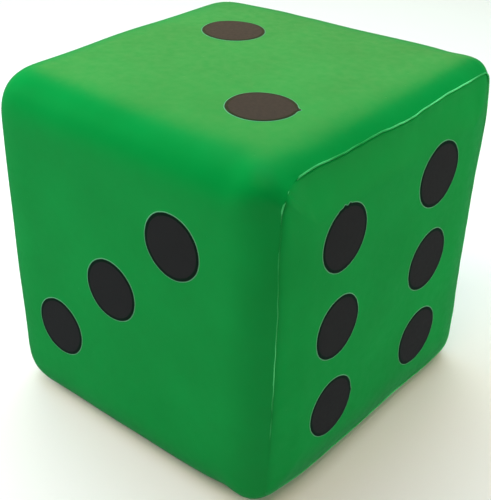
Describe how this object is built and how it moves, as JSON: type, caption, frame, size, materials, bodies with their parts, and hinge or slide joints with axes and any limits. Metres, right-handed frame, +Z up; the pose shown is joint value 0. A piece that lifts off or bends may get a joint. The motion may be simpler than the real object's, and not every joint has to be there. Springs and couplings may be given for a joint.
{
  "type": "giant foam yard die",
  "caption": "Giant soft foam yard die: a cube with broad rounded edges, a mould parting line with a thin bead of flash round one side, and flush round black painted pips.",
  "frame": {"origin": "centre of the bottom face, on the surface that the die rests on", "axes": "+Z up through the two pips face, -Y out of the three pips face (front), +X out of the six pips face, beside which the mould's parting line runs"},
  "size_m": [0.196, 0.202, 0.2],
  "materials": {
    "green_skin": "satin moulded polyurethane skin, smooth, slightly soft",
    "green_flash": "thin moulded flash, satin, a little lighter at its edge",
    "black_pip_paint": "matt flexible paint",
    "soft_foam": "open-cell soft foam, matt"
  },
  "bodies": {
    "root": {"foam_core": "soft_foam", "parting_bead": "green_flash", "pip_five_1": "black_pip_paint", "pip_five_2": "black_pip_paint", "pip_five_3": "black_pip_paint", "pip_five_4": "black_pip_paint", "pip_five_5": "black_pip_paint", "pip_four_1": "black_pip_paint", "pip_four_2": "black_pip_paint", "pip_four_3": "black_pip_paint", "pip_four_4": "black_pip_paint", "pip_one_1": "black_pip_paint", "pip_six_1": "black_pip_paint", "pip_six_2": "black_pip_paint", "pip_six_3": "black_pip_paint", "pip_six_4": "black_pip_paint", "pip_six_5": "black_pip_paint", "pip_six_6": "black_pip_paint", "pip_three_1": "black_pip_paint", "pip_three_2": "black_pip_paint", "pip_three_3": "black_pip_paint", "pip_two_1": "black_pip_paint", "pip_two_2": "black_pip_paint", "skin_body": "green_skin", "skin_lid": "green_skin"}
  },
  "joints": []
}
